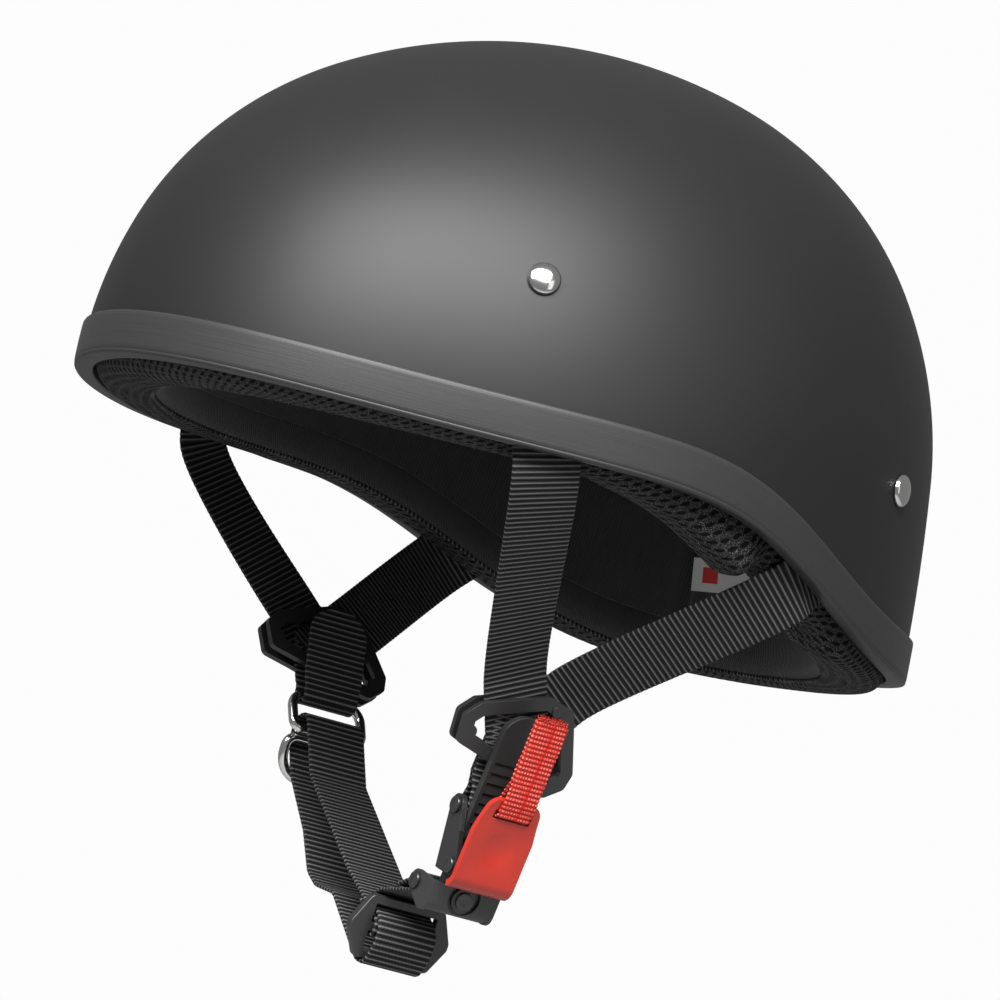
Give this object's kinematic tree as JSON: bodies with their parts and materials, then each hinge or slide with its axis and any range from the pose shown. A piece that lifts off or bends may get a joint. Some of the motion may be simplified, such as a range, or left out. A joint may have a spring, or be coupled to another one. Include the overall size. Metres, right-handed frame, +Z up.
{
  "type": "half shell motorcycle helmet",
  "caption": "Half shell open helmet with edge trim, mesh rim cushion, riveted webbing arms, D rings and a chin strap closed by a ratchet buckle with a pull ribbon.",
  "frame": {"origin": "on the helmet's middle plane, mid length, near the level of the rim at the ears, where the wearer's head sits", "axes": "+X to the wearer's left, -Y to the front, +Z up"},
  "size_m": [0.226, 0.2629, 0.2754],
  "materials": {
    "shell_black": "smooth matt black paint",
    "trim_black": "satin dark grey, finely brushed along",
    "mesh_black": "open spacer mesh",
    "lining_black": "short brushed pile",
    "foam_black": "moulded bead foam",
    "nickel": "polished nickel",
    "webbing_black": "ribbed polyester webbing",
    "moulded_black": "fine grained moulding",
    "black_steel": "black satin coating",
    "grained_black": "grained black coating",
    "lever_red": "satin gloss red moulding",
    "ribbon_red": "coarse woven ribbon",
    "label_white": "bare woven label"
  },
  "bodies": {
    "helmet": {"shell": "shell_black", "edge_trim": "trim_black", "rim_cushion": "mesh_black", "foam_liner": "foam_black", "crown_lining": "lining_black", "side_rivets": "nickel", "rear_rivets": "nickel", "rivet_washers": "nickel", "size_label": "label_white", "left_front_arm": "webbing_black", "left_rear_arm": "webbing_black", "right_front_arm": "webbing_black", "right_rear_arm": "webbing_black"},
    "harness": {"left_divider_base": "moulded_black", "left_divider_cover": "moulded_black", "right_divider_base": "moulded_black", "right_divider_cover": "moulded_black", "left_strap_loop": "webbing_black", "right_strap_loop": "webbing_black", "upper_ring": "nickel", "chin_strap": "webbing_black", "strap_slider": "moulded_black", "lever_pin": "black_steel", "buckle_webbing_pin": "black_steel", "ratchet_frame": "black_steel", "lever_spring": "nickel"},
    "strip": {"ratchet_strip": "moulded_black", "strip_bracket": "grained_black", "strip_rivet": "black_steel", "bracket_pin": "black_steel"},
    "lever": {"release_lever": "lever_red", "lever_pawl": "black_steel", "pull_ribbon": "ribbon_red"},
    "ring": {"lower_ring": "nickel"}
  },
  "joints": [
    {"name": "harness_swing", "type": "hinge", "parent": "helmet", "child": "harness", "pos_m": [0, -0.0457, 0.00403], "axis": [1, 0, 0], "range_deg": [0, 25], "deforming": ["left_front_arm", "left_rear_arm", "right_front_arm", "right_rear_arm"]},
    {"name": "strip_release", "type": "slide", "parent": "harness", "child": "strip", "axis": [-0.3107, -0.1323, -0.9413], "range_m": [0, 0.0384], "deforming": ["chin_strap"]},
    {"name": "lever_turn", "type": "hinge", "parent": "harness", "child": "lever", "pos_m": [0.0428, -0.01905, -0.11595], "axis": [0, 0.9903, -0.1392], "range_deg": [0, 35], "stiffness_Nm_per_rad": 0.02, "deforming": ["lever_spring"]},
    {"name": "lower_ring_turn", "type": "hinge", "parent": "harness", "child": "ring", "pos_m": [-0.0615, -0.01463, -0.08446], "axis": [0, 0.9903, -0.1392], "range_deg": [0, 60]}
  ]
}
